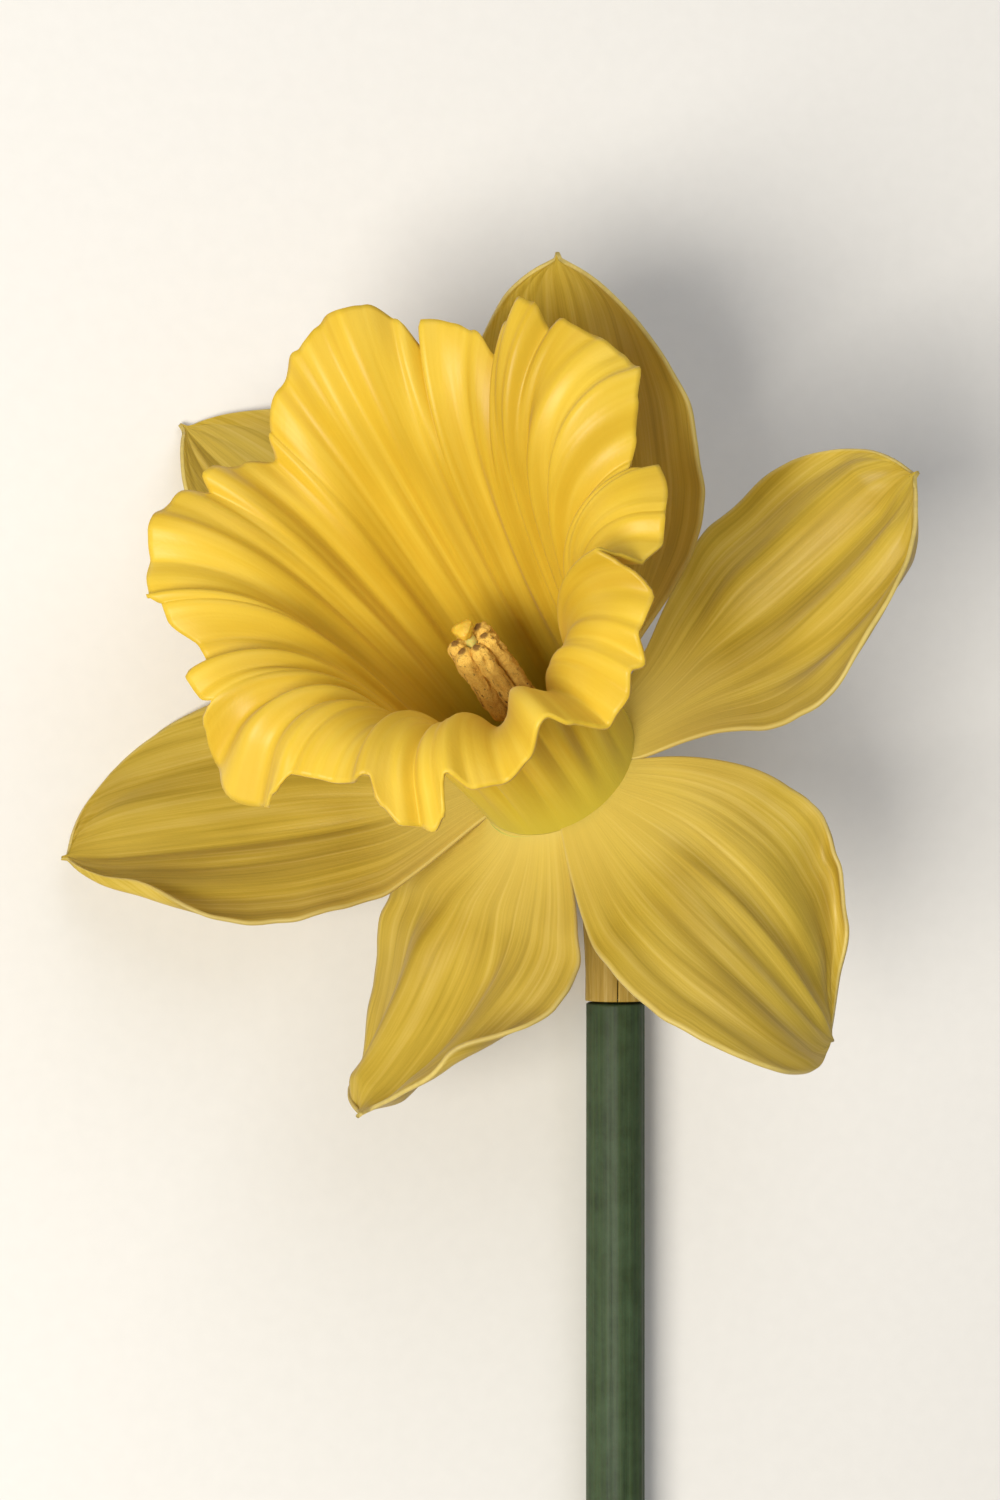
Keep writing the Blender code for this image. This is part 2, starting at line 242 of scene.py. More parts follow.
def streaks(material, space, spacing, length, detail, roughness):
    """Noise drawn out along the blade: spacing and length in mm."""
    spread = add_node(material, "ShaderNodeMapping", _0=space,
                      Scale=(1 / spacing, 1 / length, 1 / spacing)).outputs[0]
    return add_node(material, "ShaderNodeTexNoise", Vector=spread, Scale=1.0, Detail=detail,
                    Roughness=roughness).outputs["Fac"]


def petal_material(name, size, colours, foot, see_through, roughness, wrapped=False, veining=1.0):
    """Petal tissue of a size in mm. The colours are deep, base, pale and the margin's."""
    deep, base, pale, margin = colours
    material = new_material(name)
    space, parts = petal_space(material, *size, wrapped)
    veins = streaks(material, space, VEIN_SPACING, 70.0, 2.0, 0.55)
    fine = streaks(material, space, FINE_SPACING, 22.0, 2.0, 0.6)
    cells = streaks(material, space, CELL_SIZE, CELL_SIZE * 2.5, 1.0, 0.5)
    broad = streaks(material, space, 7.0, 24.0, 2.0, 0.5)
    lines = add_node(material, "ShaderNodeMix", _0=0.45, _2=veins, _3=fine).outputs[0]
    ramp = add_node(material, "ShaderNodeValToRGB", Fac=lines)
    skin = set_ramp(ramp, [(0.36, deep), (0.50, base), (0.66, pale)])
    patches = add_node(material, "ShaderNodeValToRGB", Fac=broad)
    set_ramp(patches, [(0.34, "#dccf9e"), (0.56, "#ffffff")])
    tinted = add_node(material, "ShaderNodeMix", {"data_type": "RGBA", "blend_type": "MULTIPLY"},
                      _0=0.45, _6=skin, _7=patches.outputs[0]).outputs[2]
    # towards the foot the colour turns to the foot colour: a real greenish tint on the trumpet, and on
    # the tepals a pale painted light that brightens the foot in the trumpet's shade
    foot_tint_and_painted_light = add_node(material, "ShaderNodeMapRange", Value=parts.outputs["Y"], From_Min=0.0,
                      From_Max=0.3, To_Min=0.85, To_Max=0.0).outputs[0]
    colour = add_node(material, "ShaderNodeMix", {"data_type": "RGBA"}, _0=foot_tint_and_painted_light, _6=tinted,
                      _7=linear(foot)).outputs[2]
    if not wrapped:
        rim = add_node(material, "ShaderNodeAttribute", {"attribute_name": "margin"}).outputs["Fac"]
        edge = add_node(material, "ShaderNodeMapRange", Value=rim, From_Min=0.965, From_Max=1.0,
                        To_Min=0.0, To_Max=0.4).outputs[0]
        colour = add_node(material, "ShaderNodeMix", {"data_type": "RGBA"}, _0=edge, _6=colour,
                          _7=linear(margin)).outputs[2]
    low_bump = add_node(material, "ShaderNodeBump", Height=veins, Strength=0.2 * veining,
                        Distance=0.3 * MM)
    mid_bump = add_node(material, "ShaderNodeBump", Height=fine, Strength=0.3 * veining,
                        Distance=0.12 * MM, Normal=low_bump.outputs[0])
    bump = add_node(material, "ShaderNodeBump", Height=cells, Strength=0.25, Distance=0.06 * MM,
                    Normal=mid_bump.outputs[0]).outputs[0]
    front = add_node(material, "ShaderNodeBsdfPrincipled", Base_Color=colour, Roughness=roughness,
                     IOR=1.42, Sheen_Weight=0.12, Sheen_Roughness=0.4, Normal=bump)
    back = add_node(material, "ShaderNodeBsdfTranslucent", Color=colour, Normal=bump)
    both = add_node(material, "ShaderNodeMixShader", _0=see_through, _1=front.outputs[0],
                    _2=back.outputs[0])
    add_node(material, "ShaderNodeOutputMaterial", Surface=both.outputs[0])
    return material


# the tepals' pale foot colour is painted light, brightening the foot where the trumpet shades it
TEPAL = petal_material("tepal_tissue", (33.0, 48.0), ("#c3a93a", "#d6bc48", "#e4cd68", "#f2e4a0"),
                       "#e8d26a", 0.40, 0.42)
CORONA = petal_material("corona_tissue", (110.0, 46.0), ("#e3c035", "#e8c83e", "#edd04c", "#f2dc80"),
                        "#d6c846", 0.32, 0.42, wrapped=True, veining=0.25)
print("petal tissues:", TEPAL.name, "and", CORONA.name, "veins every", VEIN_SPACING, "mm")

# %% [markdown]
# ## The six tepals
# Three outer and three inner tepals spread round the trumpet. Each is one thin blade, so
# it starts as a flat grid that is laid along a curved midrib. Across the blade the grid
# follows an arc, then folds, rolled margins and fine ripples are added, and Solidify gives
# the tissue its thickness. The feet of the six meet in one ring, as on the real flower.

# %% Sizes of the blades, whose midribs run as on the plain solids
RING_RADIUS = 10.8
OUTER_WHORL_DROP = 1.8
HALF_COLUMNS = 36         # grid columns on each side of the midrib
BLADE_ROWS = 132
TIP_HALF_WIDTH = 0.45
SPIKE_START = 0.982       # share of the length where the small pointed tip begins
CLAW_HALF_WIDTH = 4.2
# blades whose foot is broader on one side (1 or -1), where it overlaps its neighbour
BROAD_CLAWS = {
    ("inner_tepal_bottom", -1): 12.0, ("inner_tepal_bottom", 1): 7.5,
    ("outer_tepal_lower_right", -1): 8.5, ("outer_tepal_lower_right", 1): 9.5,
    ("outer_tepal_left", 1): 7.0,
}
PETAL_THICKNESS = 0.45

# place round the axis, sweep at base and tip, bend, length, half widths, twist at base
# and tip, cupping, widest place, bluntness
BLADES = {
    "outer_tepal_top": (68, 36, 65, 0, 50.0, 14.5, 20.0, -2, -2, 0.65, 0.51, 0.62),
    "inner_tepal_upper_left": (131, 31, 45, 5, 49.5, 14.0, 16.0, 1, 22, 0.55, 0.49, 0.73),
    "outer_tepal_left": (187, 9, 30, 4, 46.4, 14.8, 17.8, -13, 5, 0.50, 0.49, 0.62),
    "inner_tepal_bottom": (239, -36, 13, -16, 35.8, 18.5, 17.0, -3, 42, 0.05, 0.47, 0.58),
    "outer_tepal_lower_right": (312, -1, -77, -20, 37.0, 16.4, 16.7, 10, -66, 0.05, 0.53, 0.60),
    "inner_tepal_right": (18, 6, 31, -3, 42.0, 14.6, 19.2, 0, 3, 0.42, 0.50, 0.60),
}
# long folds of each blade: place across (-1 to 1), height in mm, width as a share of the
# half width, and where along the blade the fold starts and ends
FOLDS = {
    "outer_tepal_top": [(0.0, -0.5, 0.08, 0.1, 1.0), (-0.45, 0.7, 0.2, 0.1, 0.9),
                        (0.4, 0.5, 0.2, 0.2, 0.9)],
    "inner_tepal_upper_left": [(0.0, -0.5, 0.08, 0.1, 1.0), (0.5, 0.6, 0.2, 0.1, 0.9),
                               (-0.5, 0.5, 0.2, 0.2, 0.9)],
    "outer_tepal_left": [(0.0, -0.7, 0.08, 0.1, 1.0), (-0.35, 0.7, 0.16, 0.1, 0.95),
                         (0.45, 0.6, 0.2, 0.1, 0.9)],
    "inner_tepal_bottom": [(-0.38, 2.8, 0.2, 0.15, 1.0), (0.12, -1.6, 0.16, 0.15, 0.98),
                           (0.5, 0.7, 0.2, 0.2, 0.95), (-0.8, -0.6, 0.1, 0.5, 0.98)],
    "outer_tepal_lower_right": [(0.04, 0.5, 0.04, 0.2, 1.0), (0.2, -0.5, 0.12, 0.1, 0.95),
                                (-0.1, -0.3, 0.06, 0.3, 1.0), (-0.36, -0.25, 0.08, 0.4, 1.0),
                                (-0.55, 0.25, 0.1, 0.4, 1.0), (-0.75, -0.3, 0.1, 0.3, 0.95),
                                (0.42, 0.4, 0.1, 0.3, 0.9)],
    "inner_tepal_right": [(0.38, 2.0, 0.22, 0.15, 0.98), (0.02, -0.9, 0.14, 0.2, 0.95),
                          (-0.24, 0.7, 0.1, 0.3, 0.95), (-0.48, -1.6, 0.12, 0.3, 0.97),
                          (-0.72, 1.0, 0.1, 0.35, 0.9)],
}
# margins that roll up: side, turn in radians, where along the blade and over what reach
ROLLS = {
    "outer_tepal_left": [(1, 2.4, 0.88, 0.16)],
    "inner_tepal_bottom": [(1, 1.0, 0.72, 0.13), (-1, 2.2, 0.97, 0.13)],
    "outer_tepal_lower_right": [(1, 2.6, 0.72, 0.26)],
    "inner_tepal_right": [(-1, 0.6, 0.75, 0.14)],
}
print("blade lengths, mm:", [blade[4] for blade in BLADES.values()])


def blade_half_width(s, greatest, widest, bluntness, claw=CLAW_HALF_WIDTH):
    if s < widest:
        return blend(claw, greatest, sin(pi / 2 * s / widest) ** 1.3)
    x = min((s - widest) / (SPIKE_START - widest), 1.0)
    spike = TIP_HALF_WIDTH * (1 - ease((s - SPIKE_START) / (1 - SPIKE_START)) * 0.7)
    return max(greatest * (1 - x ** 2.3) ** bluntness, spike)


def midrib(place, sweep_base, sweep_tip, bend, length, drop):
    """Point, forward and sideways directions at each row of a blade."""
    start = radians(place)
    point = Vector((RING_RADIUS * cos(start), RING_RADIUS * sin(start), -drop))
    rows = []
    for row in range(BLADE_ROWS + 1):
        s = row / BLADE_ROWS
        sweep = radians(blend(sweep_base, sweep_tip, s))
        swing = radians(place + bend * s * s)
        forward = Vector((cos(sweep) * cos(swing), cos(sweep) * sin(swing), sin(sweep)))
        rows.append((point.copy(), forward, Vector((-sin(swing), cos(swing), 0.0))))
        point += forward * length / BLADE_ROWS
    return rows


def cross_section(half, cup, rolls, s):
    """Points across half a blade, from the middle out: level and height, in mm."""
    points = [(0.0, 0.0)]
    level = height = 0.0
    turn = sum(angle * exp(-((s - place) / reach) ** 2) for angle, place, reach in rolls)
    for step in range(HALF_COLUMNS):
        t = (step + 0.5) / HALF_COLUMNS
        angle = cup * t + turn * ease((t - 0.72) / 0.28)
        level += half / HALF_COLUMNS * cos(angle)
        height += half / HALF_COLUMNS * sin(angle)
        points.append((level, height))
    return points


# %% Lay the six blades
NAMES = list(BLADES)
PLACES = {name: BLADES[name][0] for name in NAMES}


def foot_limits(name):
    """Angles where a blade's foot meets the feet of its neighbours."""
    place = PLACES[name]
    gaps = [(other - place + 180) % 360 - 180 for other in PLACES.values() if other != place]
    before = max(gap for gap in gaps if gap < 0)
    after = min(gap for gap in gaps if gap > 0)
    return place + before / 2, place + after / 2


FOOT_RADIUS = 9.3         # the feet reach under the wall of the trumpet and join it
FOOT_REACH = 0.24         # share of the blade over which the foot opens out of the ring
FOOT_DROP = 0.7


def make_tepal(name, seed):
    (place, sweep_base, sweep_tip, bend, length, left, right,
     twist_base, twist_tip, cup, widest, bluntness) = BLADES[name]
    drop = OUTER_WHORL_DROP if name.startswith("outer") else 0.0
    rows = midrib(place, sweep_base, sweep_tip, bend, length, drop)
    first, last = foot_limits(name)
    sections = {}
    for row in range(BLADE_ROWS + 1):
        s = row / BLADE_ROWS
        for sign, greatest in ((1, left), (-1, right)):
            rolls = [roll[1:] for roll in ROLLS.get(name, []) if roll[0] == sign]
            claw = BROAD_CLAWS.get((name, sign), CLAW_HALF_WIDTH)
            half = blade_half_width(s, greatest, widest, bluntness, claw)
            sections[row, sign] = cross_section(half, cup, rolls, s)

    def gather(x, y):
        """Veins and folds gather only a little towards the tip, and run out at the margin."""
        greatest = left if x > 0.5 else right
        narrow = blade_half_width(y, greatest, widest, bluntness) / greatest
        return narrow ** 0.55 if y > widest else 1.0

    def place_point(x, y):
        side = 2 * x - 1
        lane = side * gather(x, y)
        row = round(y * BLADE_ROWS)
        point, forward, across = rows[row]
        sign = 1 if side >= 0 else -1
        level, height = sections[row, sign][round(abs(side) * HALF_COLUMNS)]
        twist = radians(blend(twist_base, twist_tip, y))
        normal = forward.cross(across)
        level_way = across * cos(twist) + normal * sin(twist)
        up = normal * cos(twist) - across * sin(twist)
        for at, tall, wide, begin, end in FOLDS[name]:
            along = ease((y - begin) / 0.3) * ease((end - y) / 0.12)
            height += tall * along * exp(-((lane - at) / wide) ** 2)
        grown = ease(y / 0.35)
        taper = 1 - ease((y - 0.9) / 0.1)
        height += 0.28 * grown * taper * ripple(side * 7, y * 2.2, seed)
        height += 1.0 * abs(side) ** 3 * grown * taper * ripple(sign * 3, y * 6.5, seed + 9)
        level += 0.25 * sign * abs(side) ** 4 * grown * taper * ripple(5, y * 15, seed + 5)
        blade = point + level_way * level * sign + up * height
        angle = radians(blend(first, last, x))
        sweep = radians(sweep_base)
        reach = FOOT_RADIUS + y * length * cos(sweep)
        ring = Vector((reach * cos(angle), reach * sin(angle), y * length * sin(sweep) - FOOT_DROP))
        return ring.lerp(blade, ease(y / FOOT_REACH))

    def map_point(x, y):
        return 0.5 + (x - 0.5) * gather(x, y), y

    bm = laid_grid(2 * HALF_COLUMNS, BLADE_ROWS, place_point, map_point=map_point)
    return finish_piece(name + "_blade", bm, BLOOM, TEPAL, [name],
                        PETAL_THICKNESS)


for index, name in enumerate(NAMES):
    make_tepal(name, index + 1)

# %% [markdown]
# ## The trumpet
# The corona is one frilled sleeve. It starts as a grid sewn into a tube. The wall leans
# out a little more as it rises, and the lip turns outwards, further in some places than
# in others. The edge is drawn by its lobes and notches: for each the wall's length and
# the turn of the lip are given, and a smooth curve runs between them. Ribs run up the
# wall, and some lobes sway sideways so that they overlap the next one.

# %% The edge of the trumpet
# angle, length of the wall in mm, turn of the lip in degrees
EDGE = [
    (-22, 41.5, 80), (-19, 41, 62), (-15, 41, 76), (-12, 41, 100), (-7, 43, 110),
    (-2, 45, 110), (3, 46, 112), (7, 45.5, 110), (9, 42.5, 104), (12, 39.5, 90),
    (15, 41.5, 94), (18, 45.5, 100), (22, 49, 106), (26, 54, 110), (31, 54, 108),
    (37, 52, 104), (44, 53, 88), (47, 50, 84), (50, 53, 82), (54, 53.5, 76), (58, 49.5, 72),
    (61, 45, 66), (68, 48.5, 66), (76, 50, 62), (80, 50, 62), (82, 46.5, 60), (86, 51, 60),
    (92, 53.5, 58), (100, 54, 56), (112, 52, 55), (120, 49.5, 56), (128, 46, 58),
    (133, 43, 60), (140, 46, 60), (150, 49, 60), (153, 47, 62), (161, 51, 66), (168, 52.5, 70),
    (178, 51.5, 78), (184, 51, 82), (186, 48.5, 80), (190, 48, 82), (196, 44, 76),
    (200, 43, 80), (203, 46.5, 98), (208, 46, 100), (212, 43.5, 98), (214, 46.5, 112),
    (218, 50, 128), (224, 50.5, 136), (230, 49.5, 130), (234, 47, 120), (237, 43, 108),
    (246, 42, 106), (254, 41.5, 104), (258, 41.5, 100), (260, 45, 114), (263, 47, 122),
    (266, 45, 122), (269, 46.5, 124), (272, 44.5, 118), (275, 40, 98), (279, 39, 108),
    (284, 39, 106), (292, 40, 100), (301, 40.5, 92), (304, 41, 100), (311, 40, 112),
    (317, 40.5, 114), (321, 42, 110), (324, 43.5, 114), (328, 44, 106), (334, 45.5, 108),
]
CROWN_BASE_RADIUS = 9.5
FUSED_DEPTH = 1.0         # mm the wall goes down into the ring where all the parts join
CROWN_BASE_ANGLE = 2.0
CROWN_WALL_ANGLE = 24.0
LIP_START = 0.55          # share of the wall where the lip begins to turn
EARLY_LIP = (298, 0.22, 34)    # it begins lower here: angle, by how much, half width
CROWN_COLUMNS = 540
CROWN_ROWS = 78
CROWN_THICKNESS = 0.42
print("the edge has", len(EDGE), "points; the wall is", min(edge[1] for edge in EDGE), "to",
      max(edge[1] for edge in EDGE), "mm long")


def edge_at(angle):
    """Wall length and turn of the lip at an angle: a soft curve through the points."""
    count = len(EDGE)
    start = EDGE[0][0]
    turned = (angle - start) % 360 + start
    index = max(i for i in range(count) if EDGE[i][0] <= turned)
    following = EDGE[(index + 1) % count]
    width = (following[0] - EDGE[index][0]) % 360
    t = (turned - EDGE[index][0]) / width
    soft = ease(t)
    return blend(EDGE[index][1], following[1], soft), blend(EDGE[index][2], following[2], soft)


# ribs of the wall: angle, height in mm (outwards), half width in degrees
RIBS = [
    (-30, 1.2, 7), (-20, -1.3, 4), (-2, 1.0, 8), (11, -1.2, 3), (17, 0.8, 3), (22, -0.8, 3),
    (30, 1.4, 5), (37, -0.9, 3), (43, 1.2, 4), (48, -0.8, 3), (54, 0.7, 4), (62, -1.1, 4),
    (72, 0.8, 5), (82, -0.8, 3), (90, 0.6, 4), (97, -0.4, 3), (103, 0.5, 4), (109, -0.4, 3),
    (118, 0.8, 5), (132, -0.9, 4), (142, 0.6, 4), (153, -0.7, 3), (162, 0.5, 3),
    (174, 1.1, 7), (187, -0.9, 3), (200, -0.7, 5), (207, 0.5, 3), (212, -1.2, 3),
    (218, 1.2, 3), (222, -0.7, 2), (227, 1.2, 3), (238, -0.8, 5), (247, 0.4, 4),
    (256, -1.3, 3), (265, 0.9, 5), (278, -1.6, 4), (289, 0.9, 4), (299, -1.0, 4),
    (308, 0.9, 4), (317, -0.8, 4),
]


def wall_profile(length, turn, early=0.0):
    """Radius, height and lean up the wall, at equal steps of its length.

    A lip that hangs far over starts to bend lower down and ends in a straight fall.
    Where early is more than nothing, the bend starts lower still by that share."""
    radius = CROWN_BASE_RADIUS
    height = -FUSED_DEPTH
    hang = ease((turn - 90) / 60)
    lip_start = LIP_START - 0.06 * hang - early
    lip_end = 1 - 0.15 * hang
    points = [(radius, height, radians(CROWN_BASE_ANGLE))]
    length += FUSED_DEPTH
    for step in range(CROWN_ROWS):
        share = (step + 0.5) / CROWN_ROWS
        lip = min(max(share - lip_start, 0.0) / (lip_end - lip_start), 1.0)
        lean = blend(CROWN_BASE_ANGLE, CROWN_WALL_ANGLE, share)
        lean = radians(lean + (turn - CROWN_WALL_ANGLE) * lip ** 2)
        radius += sin(lean) * length / CROWN_ROWS
        height += cos(lean) * length / CROWN_ROWS
        points.append((radius, height, lean))
    return points


# lobes that lean to one side, so that they overlap the next: angle, sway and half width
SWAYS = [(217, -5.0, 6), (7, 2.5, 4), (-12, -2.5, 4),
         (-24, 3.0, 4), (125, 2.0, 5), (158, -2.0, 4), (182, 2.0, 4)]


def bump_at(angle, at, tall, wide):
    """A smooth bump round the axis: its height at an angle."""
    away = (angle - at + 180) % 360 - 180
    return tall * exp(-(away / wide) ** 2)


def sway_at(angle):
    return sum(bump_at(angle, *sway) for sway in SWAYS)


def rib_height(angle):
    return sum(bump_at(angle, *rib) for rib in RIBS)


# %% Lay the trumpet
def make_corona():
    columns = []
    for column in range(CROWN_COLUMNS + 1):
        angle = 360 * column / CROWN_COLUMNS
        length, turn = edge_at(angle)
        length += 0.35 * ripple(angle / 3.2, 0.0, 31)
        profile = wall_profile(length, turn, bump_at(angle, *EARLY_LIP))
        columns.append((angle, profile, rib_height(angle)))

    def place_point(x, y):
        angle, profile, rib = columns[round(x * CROWN_COLUMNS) % CROWN_COLUMNS]
        radius, height, lean = profile[round(y * CROWN_ROWS)]
        grown = ease((y + 0.03) / 0.65)
        lip = ease((y - 0.55) / 0.45)
        out = rib * grown
        out += 0.6 * lip * ripple(angle / 11.0, y * 1.5, 23)
        out += 0.3 * lip ** 4 * ripple(angle / 3.4, y * 2.0, 27)
        out += 0.03 * grown * ripple(angle / 2.2, y * 1.2, 29)
        radius += out * cos(lean)
        height -= out * sin(lean)
        theta = radians(angle + sway_at(angle) * lip * lip)
        return Vector((radius * cos(theta), radius * sin(theta), height))

    bm = laid_grid(CROWN_COLUMNS, CROWN_ROWS, place_point, wrapped=True)
    return finish_piece("corona_frill", bm, BLOOM, CORONA, ["corona"],
                        CROWN_THICKNESS)


make_corona()

# %% [markdown]
# ## Rods
# The stem, the stalk, the filaments, the anthers and the style are all rods. A wrapped
# grid is swept along a route, and the radius may change along it and round it. At both
# ends the radius falls to nothing, so the ends are closed.

# %% Sweep a rod along a route
def smooth_route(start, start_pull, end_pull, end):
    """A cubic curve that leaves start and reaches end along the two pulls."""
    def route(t):
        return (start * (1 - t) ** 3 + (start + start_pull) * 3 * t * (1 - t) ** 2
                + (end - end_pull) * 3 * t * t * (1 - t) + end * t ** 3)
    return route


def straight_route(start, end):
    return lambda t: start.lerp(end, t)


def sweep_rod(route, radius_at, columns, rows, side=None):
    """radius_at(t, angle) is the radius at a share of the route and an angle from side."""
    points = [route(row / rows) for row in range(rows + 1)]
    forward = (points[1] - points[0]).normalized()
    side = forward.orthogonal() if side is None else side - forward * side.dot(forward)
    side.normalize()
    frames = []
    for row in range(rows + 1):
        ahead = (points[min(row + 1, rows)] - points[max(row - 1, 0)]).normalized()
        side = forward.rotation_difference(ahead) @ side
        forward = ahead
        frames.append((points[row], side.copy(), forward.cross(side)))

    def place_point(x, y):
        point, right, up = frames[round(y * rows)]
        angle = 2 * pi * x
        if y in (0.0, 1.0):
            return point
        return point + (right * cos(angle) + up * sin(angle)) * radius_at(y, angle)

    return laid_grid(columns, rows, place_point, wrapped=True)


def rounded(t, roundness=0.05, power=0.5):
    """Full in the middle, falling to nothing at both ends."""
    return (min(t / roundness, (1 - t) / roundness, 1.0) * 0.999 + 0.001) ** power


# %% [markdown]
# ## Stamens and pistil
# Six anthers stand close round the style. Each is a long pollen sac with a groove down
# its middle, split open and dusted with orange pollen, with brown specks where it dries.

# %% Pollen and thread materials
def pollen_material():
    """Orange-tan and dusty, with grains that stand out and dark brown dry specks."""
    material = new_material("pollen")
    spot = add_node(material, "ShaderNodeTexCoord").outputs["Object"]
    grains = add_node(material, "ShaderNodeTexVoronoi", Vector=spot, Scale=1 / (0.13 * MM))
    specks = add_node(material, "ShaderNodeTexNoise", Vector=spot, Scale=1 / (0.9 * MM),
                      Detail=5.0, Roughness=0.7).outputs["Fac"]
    dust = set_ramp(add_node(material, "ShaderNodeValToRGB", Fac=grains.outputs["Distance"]),
                    [(0.0, "#f4d06a"), (0.6, "#deb14c")])
    dry = add_node(material, "ShaderNodeMapRange", Value=specks, From_Min=0.61, From_Max=0.68)
    parts = add_node(material, "ShaderNodeSeparateXYZ",
                     Vector=add_node(material, "ShaderNodeTexCoord").outputs["UV"])
    lean = tuple(bloom_turn(AXIS).to_euler())
    cracks = add_node(material, "ShaderNodeMapping", {"vector_type": "TEXTURE"}, _0=spot,
                      Rotation=lean, Scale=(1.0, 1.0, 4.5)).outputs[0]
    torn = add_node(material, "ShaderNodeTexNoise", Vector=cracks, Scale=1 / (0.8 * MM),
                    Detail=5.0, Roughness=0.75).outputs["Fac"]
    crack = add_node(material, "ShaderNodeMapRange", Value=torn, From_Min=0.58, From_Max=0.66,
                     To_Min=0.0, To_Max=0.85).outputs[0]
    tip = add_node(material, "ShaderNodeMapRange", Value=parts.outputs["Y"], From_Min=0.975,
                   From_Max=0.99, To_Min=0.0, To_Max=0.8).outputs[0]
    dark = add_node(material, "ShaderNodeMath", {"operation": "MAXIMUM"}, _0=crack, _1=tip)
    dark = add_node(material, "ShaderNodeMath", {"operation": "MAXIMUM"}, _0=dark.outputs[0],
                    _1=dry.outputs[0]).outputs[0]
    colour = add_node(material, "ShaderNodeMix", {"data_type": "RGBA"}, _0=dark, _6=dust,
                      _7=linear("#5a3010")).outputs[2]
    bump = add_node(material, "ShaderNodeBump", {"invert": True}, Strength=0.8, Distance=0.1 * MM,
                    Height=grains.outputs["Distance"]).outputs[0]
    shader = add_node(material, "ShaderNodeBsdfPrincipled", Base_Color=colour, Roughness=0.85,
                      IOR=1.45, Normal=bump)
    add_node(material, "ShaderNodeOutputMaterial", Surface=shader.outputs[0])
    return material


def soft_material(name, deep, pale, roughness, grain, stretch=(1.0, 1.0, 1.0)):
    """Moist plant skin: two close colours, soft mottling and a little light under the skin."""
    material = new_material(name)
    spot = add_node(material, "ShaderNodeTexCoord").outputs["Object"]
    spread = add_node(material, "ShaderNodeMapping", _0=spot, Scale=stretch).outputs[0]
    mottle = add_node(material, "ShaderNodeTexNoise", Vector=spread, Scale=1 / (grain * MM),
                      Detail=4.0, Roughness=0.6).outputs["Fac"]
    colour = set_ramp(add_node(material, "ShaderNodeValToRGB", Fac=mottle),
                      [(0.35, deep), (0.65, pale)])
    bump = add_node(material, "ShaderNodeBump", Height=mottle, Strength=0.3,
                    Distance=0.1 * MM).outputs[0]
    shader = add_node(material, "ShaderNodeBsdfPrincipled", Base_Color=colour, Roughness=roughness,
                      IOR=1.42, Subsurface_Weight=0.3, Subsurface_Scale=1.0 * MM, Normal=bump)
    add_node(material, "ShaderNodeOutputMaterial", Surface=shader.outputs[0])
    return material


POLLEN = pollen_material()
THREAD = soft_material("filament_tissue", "#b9b45a", "#dccf78", 0.45, 1.5)
STIGMA = soft_material("stigma_tissue", "#c9a22e", "#dcb945", 0.45, 0.8)
print("stamen and pistil materials:", POLLEN.name, THREAD.name, STIGMA.name)

# %% Stamens, style and stigma
STAMENS = 6
ANTHER_FOOT = 10.4
ANTHER_LENGTH = 12.2
ANTHER_DEPTH = 1.2        # half of its size outwards and sideways
ANTHER_WIDTH = 0.98
ANTHER_RING = 1.85
STYLE_FOOT = -14.0
STYLE_TOP = 23.3
STIGMA_FOOT = 22.8
STIGMA_TOP = 24.9
THREAD_FOOT = Vector((5.4, 0, -3.0))    # a filament leaves the inside of the tube here


def make_stamen(index):
    spin = Matrix.Rotation(2 * pi * index / STAMENS, 4, "Z")
    lean = 0.35 * ripple(index, 0.3, 3)
    foot = Vector((ANTHER_RING, 0, ANTHER_FOOT))
    tip = Vector((ANTHER_RING - 0.15, lean, ANTHER_FOOT + ANTHER_LENGTH))

    def sac(t, angle):
        oval = 1 / sqrt((cos(angle) / ANTHER_DEPTH) ** 2 + (sin(angle) / ANTHER_WIDTH) ** 2)
        wander = 0.4 * ripple(t * 4, 0.5, index + 50)
        depth = 0.3 * ease(0.5 + 2.2 * ripple(t * 5, 0.2, index + 55))
        split = depth * exp(-(((angle - wander + pi) % (2 * pi) - pi) / 0.28) ** 2)
        crumple = 0.24 * ripple(2.2 * cos(angle), t * 9 + 2.2 * sin(angle), index + 40)
        grain = 0.09 * ripple(6 * cos(angle), t * 38 + 6 * sin(angle), index + 60)
        return oval * rounded(t, 0.1) * (1 - split + crumple + grain)

    route = smooth_route(foot, Vector((0.2, 0.1, 3)), Vector((-0.1, 0.1, 3)), tip)
    bm = sweep_rod(route, sac, 48, 96, Vector((1, 0, 0)))
    finish_piece(f"pollen_sac_{index + 1}", bm, BLOOM @ spin, POLLEN,
                 [f"anther_{index + 1}"])
    route = smooth_route(THREAD_FOOT, Vector((-1.5, 0, 4.0)), Vector((0, 0, 4.0)),
                         Vector((ANTHER_RING, 0, ANTHER_FOOT + 0.1)))
    thread = sweep_rod(route, lambda t, angle: 0.45 * rounded(t, 0.03), 16, 48)
    finish_piece(f"thread_{index + 1}", thread, BLOOM @ spin, THREAD,
                 [f"filament_{index + 1}"])


for index in range(STAMENS):
    make_stamen(index)

style = sweep_rod(straight_route(Vector((0, 0, STYLE_FOOT)), Vector((0, 0, STYLE_TOP))),
                  lambda t, angle: 0.6 * rounded(t, 0.02) * (1 + 0.08 * cos(3 * angle)), 24, 60)
finish_piece("style_column", style, BLOOM, THREAD, ["style"])


def stigma_radius(t, angle):
    lobe = 1 + 0.14 * cos(3 * angle) * ease(t / 0.6)
    bead = 0.08 * ripple(5 * cos(angle), 5 * sin(angle) + t * 8, 71)
    return blend(0.6, 1.1, ease(t / 0.5)) * lobe * rounded(t, 0.25) + bead * rounded(t, 0.25)


stigma = sweep_rod(straight_route(Vector((0, 0, STIGMA_FOOT)), Vector((0, 0, STIGMA_TOP))),
                   stigma_radius, 48, 28)
finish_piece("stigma_lobes", stigma, BLOOM, STIGMA, ["stigma"])

